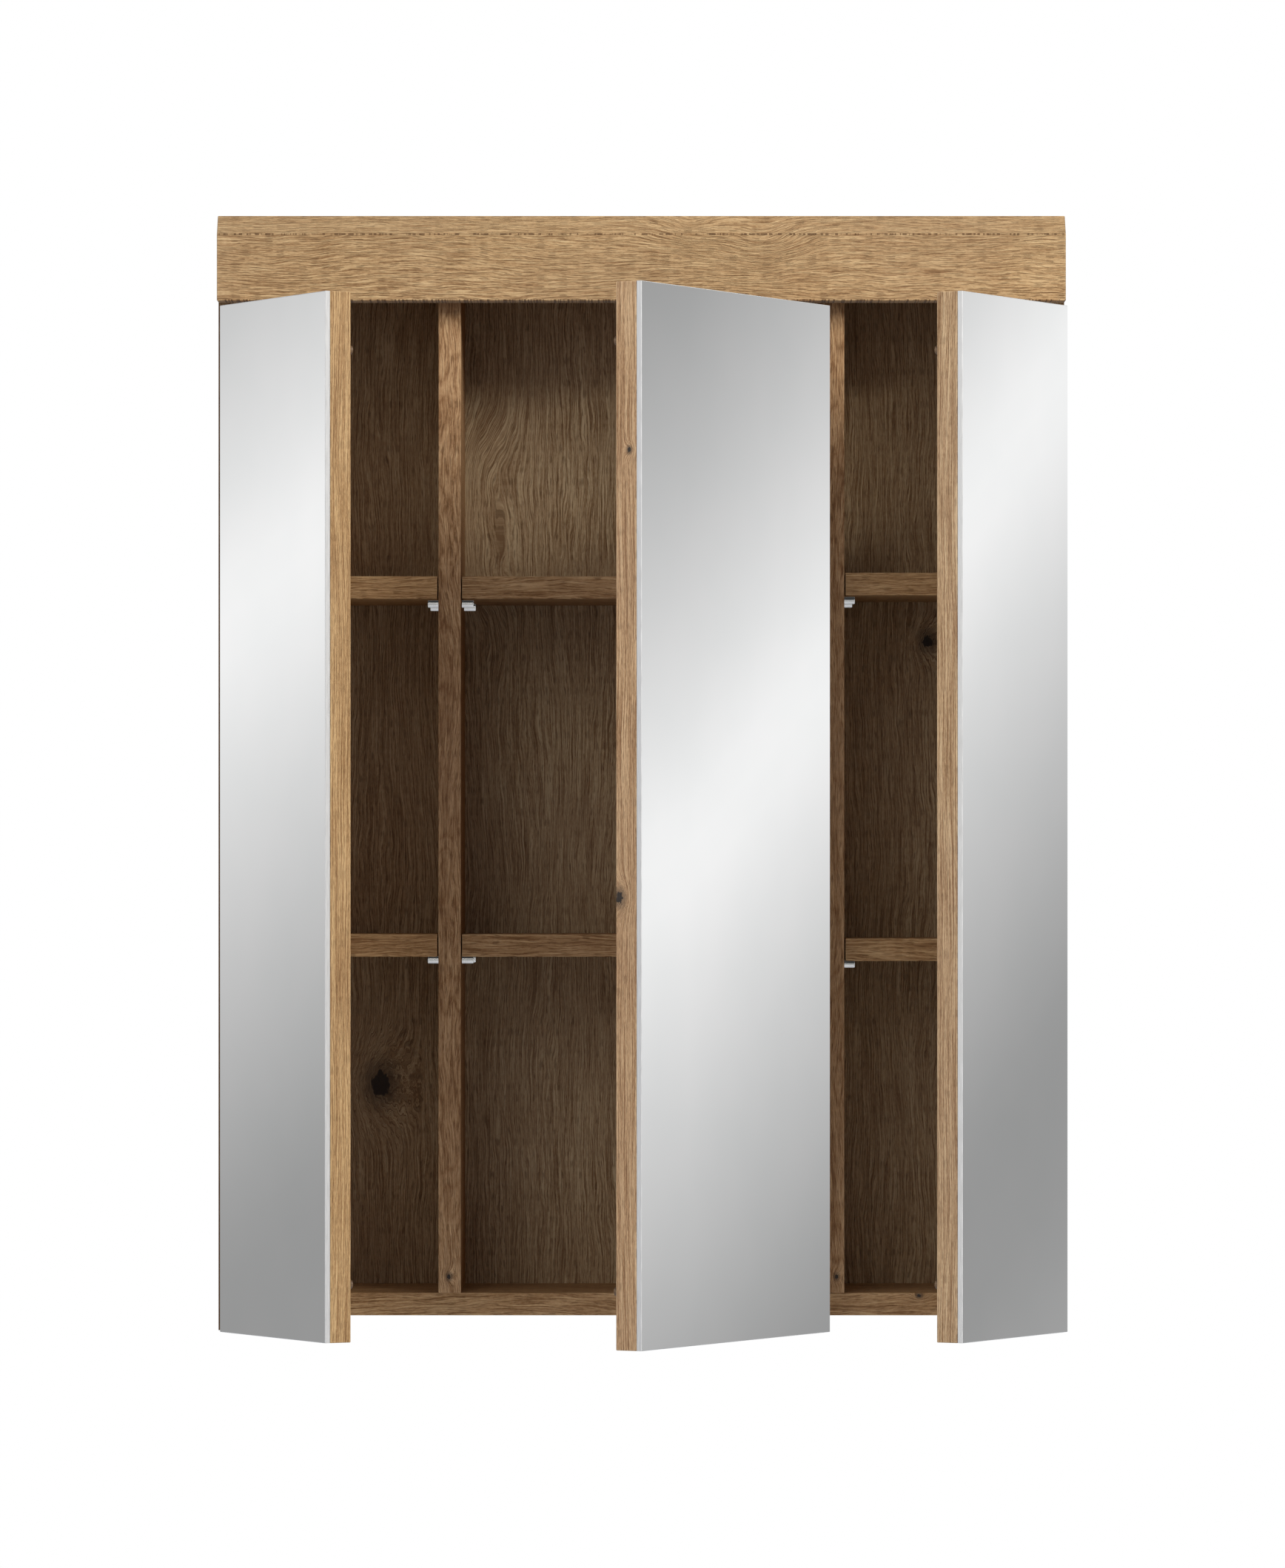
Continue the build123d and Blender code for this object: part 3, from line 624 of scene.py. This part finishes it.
def studio_world():
    """White to the camera, a soft gradient to mirrors and metal, and a low even light on the rest."""
    world = bpy.data.worlds.new("studio")
    world.use_nodes = True
    s = Shader(world.node_tree)
    bpy.context.scene.world = world
    kind = s.add("ShaderNodeLightPath").outputs
    x, y, z = s.split(s.add("ShaderNodeTexCoord").outputs["Generated"])
    bearing = s.maths("MULTIPLY_ADD", s.maths("ARCTAN2", x, y), 1 / (2 * math.pi), 0.5)
    rise = s.maths("ARCSINE", z)

    # A ramp holds only 0 to 1, so it gives the crest's rise with a half added
    stops = [(turn / 360 + 0.5, (level + 0.5,) * 3 + (1.0,)) for turn, level in CRESTS]
    crest = s.maths("SUBTRACT", s.split(s.ramp(bearing, stops))[0], 0.5)
    away = s.maths("ABSOLUTE", s.maths("SUBTRACT", rise, crest))
    shares = [step / BAND_STEPS for step in range(BAND_STEPS + 1)]
    band_stops = [(share, reflected(band_grey(share))) for share in shares]
    band = s.ramp(s.maths("DIVIDE", away, BAND), band_stops)
    far = s.ramp(away, [(at, reflected(grey)) for at, grey in FAR_GREYS])
    gradient = s.paint(s.step(away, 0.95 * BAND, 1.3 * BAND), band, far)
    lit = s.maths("MULTIPLY", s.step(rise, *HIGH_DIMMING, 1.0, DIM), s.step(rise, *LOW_DIMMING, DIM, 1.0))
    gradient = s.paint(lit, BLACK, gradient)

    colour = s.paint(kind["Is Camera Ray"], AMBIENT, WHITE)
    colour = s.paint(kind["Is Transmission Ray"], colour, WHITE)
    colour = s.paint(kind["Is Glossy Ray"], colour, gradient)
    background = s.add("ShaderNodeBackground", {"Color": colour, "Strength": 1.0})
    s.add("ShaderNodeOutputWorld", {"Surface": background.outputs[0]})


def studio_floor():
    """A pale floor well below the cabinet, which fades into the white at its border."""
    mesh = bpy.data.meshes.new("floor")
    shape = bmesh.new()
    bmesh.ops.create_circle(shape, cap_ends=True, segments=96, radius=FLOOR_RADIUS)
    bmesh.ops.translate(shape, verts=shape.verts, vec=(0.0, -0.1, FLOOR_LEVEL))
    shape.to_mesh(mesh)
    shape.free()
    floor = bpy.data.objects.new("floor", mesh)
    bpy.context.scene.collection.objects.link(floor)

    material, s = new_material("studio_floor")
    at = s.add("ShaderNodeTexCoord").outputs["Object"]
    x, y = s.split(at)[:2]
    distance = s.length(s.joined(x, y))
    speckle = s.noise(s.scaled(at, 90.0), 2.0, 0.6)
    pale = s.ramp(speckle, ((0.3, tint(236, 236, 235)), (0.7, tint(243, 243, 242))))
    plain = s.add("ShaderNodeBsdfDiffuse", {"Color": pale})
    clear = s.add("ShaderNodeBsdfTransparent")
    shaders = {0: s.step(distance, *FLOOR_FADE), 1: plain.outputs[0], 2: clear.outputs[0]}
    mixed = s.add("ShaderNodeMixShader", shaders)
    s.add("ShaderNodeOutputMaterial", {"Surface": mixed.outputs[0]})
    mesh.materials.append(material)


def soft_light(name, bearing, rise, size, power):
    """A large lamp aimed at the cabinet's middle."""
    a, e = math.radians(bearing), math.radians(rise)
    towards = Vector((math.sin(a) * math.cos(e), -math.cos(a) * math.cos(e), math.sin(e)))
    data = bpy.data.lights.new(name, "AREA")
    data.shape = "RECTANGLE"
    data.size, data.size_y = size
    data.energy = power
    data.color = LAMP_COLOUR
    lamp = bpy.data.objects.new(name, data)
    lamp.location = Vector(LAMP_AIM) + LAMP_DISTANCE * towards
    lamp.rotation_euler = towards.to_track_quat("Z", "Y").to_euler()
    bpy.context.scene.collection.objects.link(lamp)


def camera():
    """The camera of the photograph, level and square to the cabinet."""
    picture_width, picture_height = 1736, 2119
    focal_pixels = 10710.3
    centre_column, centre_row = 866.44, 1197.37
    distance, height = 5.6021, 0.3152
    sensor = 36.0
    data = bpy.data.cameras.new("camera")
    data.sensor_width = sensor
    data.sensor_fit = "AUTO"
    data.lens = focal_pixels * sensor / picture_height
    data.shift_x = (picture_width / 2 - centre_column) / picture_height
    data.shift_y = (centre_row - picture_height / 2) / picture_height
    data.clip_end = 100.0
    view = bpy.data.objects.new("camera", data)
    crown_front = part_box("crown_board")[0].y
    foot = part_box("left_side_panel")[0].z
    view.location = (0.0, crown_front - distance, foot + height)
    view.rotation_euler = (math.radians(90), 0.0, 0.0)
    bpy.context.scene.collection.objects.link(view)
    bpy.context.scene.camera = view


dress_boards()
dress_fittings()
# The photograph's mirrors show soft light alone, so the cabinet stays out of its own reflections
for node in frame["nodes"].values():
    node.visible_glossy = False
studio_world()
studio_floor()
for name, lamp in LAMPS.items():
    soft_light(name, *lamp)
camera()
bpy.context.scene.view_settings.view_transform = "Standard"
